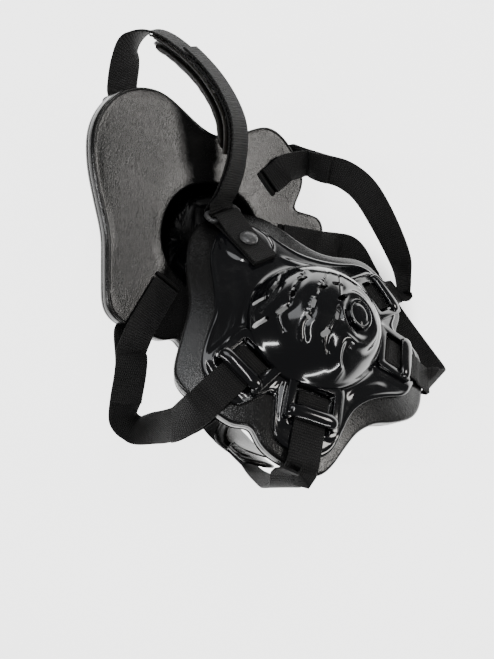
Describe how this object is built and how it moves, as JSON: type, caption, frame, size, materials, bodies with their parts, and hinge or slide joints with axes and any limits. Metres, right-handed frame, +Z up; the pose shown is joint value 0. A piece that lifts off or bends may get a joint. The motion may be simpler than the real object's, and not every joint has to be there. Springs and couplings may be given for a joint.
{
  "type": "wrestling headgear",
  "caption": "Two foam-backed hard-shell ear guards with vented domes, joined by crown, front, rear and chin webbing held by slotted buckles, with a chin cup.",
  "frame": {"origin": "bottom centre of the bounding box of the piece lying on a table", "axes": "+Z up from the table, +Y towards the crown strap, +X towards the near guard's rear buckles"},
  "size_m": [0.2472, 0.3056, 0.1394],
  "materials": {
    "gloss_shell": "gloss moulded",
    "grained_vinyl": "embossed vinyl skin over foam",
    "webbing": "ribbed webbing",
    "satin_cap": "satin",
    "hook_and_loop": "hook and loop",
    "sleeve_vinyl": "soft vinyl sleeve"
  },
  "bodies": {
    "far_guard": {"chin_cup": "grained_vinyl", "chin_cup_lining": "sleeve_vinyl", "chin_strap": "webbing", "crown_pad": "sleeve_vinyl", "crown_pad_backing": "sleeve_vinyl", "crown_strap": "webbing", "far_chin_hook_patch": "hook_and_loop", "far_chin_strap_return": "webbing", "far_emblem_boss": "gloss_shell", "far_foam_pad": "grained_vinyl", "far_front_hook_patch": "hook_and_loop", "far_lower_hook_patch": "hook_and_loop", "far_lower_strap_return": "webbing", "far_outer_shell": "gloss_shell", "far_skin_liner": "grained_vinyl", "far_snap_washer": "satin_cap", "front_strap": "webbing", "lower_strap": "webbing", "upper_strap": "webbing"},
    "near_guard": {"near_chin_strap_return": "webbing", "near_emblem_boss": "gloss_shell", "near_foam_pad": "grained_vinyl", "near_front_hook_patch": "hook_and_loop", "near_front_strap_return": "webbing", "near_lower_strap_return": "webbing", "near_outer_shell": "gloss_shell", "near_skin_liner": "grained_vinyl", "near_snap_washer": "satin_cap", "near_upper_strap_return": "webbing"},
    "near_crown_tab_body": {"near_crown_tab": "webbing", "near_snap_cap": "satin_cap"},
    "near_ring_body": {"near_crown_ring": "satin_cap"},
    "far_crown_tab_body": {"far_crown_tab": "webbing", "far_snap_cap": "satin_cap"},
    "far_ring_body": {"far_crown_ring": "satin_cap"},
    "front_return_body": {"far_front_strap_return": "webbing"},
    "upper_return_body": {"far_upper_strap_return": "webbing"},
    "crown_return_body": {"crown_strap_return": "webbing"}
  },
  "joints": [
    {"name": "guards_spread", "type": "hinge", "parent": "far_guard", "child": "near_guard", "pos_m": [-0.07497, -0.03001, 0.09046], "axis": [0.28, 0.96, 0], "range_deg": [-22, 0], "deforming": ["crown_strap", "front_strap", "upper_strap", "lower_strap", "chin_strap", "crown_pad", "crown_pad_backing", "chin_cup", "chin_cup_lining"]},
    {"name": "near_crown_swivel", "type": "hinge", "parent": "near_guard", "child": "near_crown_tab_body", "pos_m": [-0.02356, 0.01434, 0.06737], "axis": [0.2206, 0.6065, 0.7639], "range_deg": [-3, 3]},
    {"name": "near_ring_tilt", "type": "hinge", "parent": "near_crown_tab_body", "child": "near_ring_body", "pos_m": [-0.0385, 0.03225, 0.05862], "axis": [0.7755, 0.3777, -0.5059], "range_deg": [-6, 1]},
    {"name": "far_crown_swivel", "type": "hinge", "parent": "far_guard", "child": "far_crown_tab_body", "pos_m": [-0.09825, 0.07507, 0.07072], "axis": [-0.6383, 0.1454, -0.7559], "range_deg": [-12, 12]},
    {"name": "far_ring_tilt", "type": "hinge", "parent": "far_crown_tab_body", "child": "far_ring_body", "pos_m": [-0.10516, 0.09715, 0.07949], "axis": [0.7259, 0.4183, -0.546], "range_deg": [-6, 20]},
    {"name": "front_return_peel", "type": "hinge", "parent": "far_guard", "child": "front_return_body", "pos_m": [-0.07808, -0.01509, 0.07026], "axis": [0.6633, -0.5655, -0.4902], "range_deg": [-20, 0]},
    {"name": "upper_return_peel", "type": "hinge", "parent": "far_guard", "child": "upper_return_body", "pos_m": [-0.00803, 0.06346, 0.03435], "axis": [-0.5759, 0.7396, 0.3484], "range_deg": [-20, 0]},
    {"name": "crown_return_peel", "type": "hinge", "parent": "near_guard", "child": "crown_return_body", "pos_m": [-0.04436, 0.03842, 0.05458], "axis": [0.7771, 0.3803, -0.5014], "range_deg": [0, 8]}
  ]
}
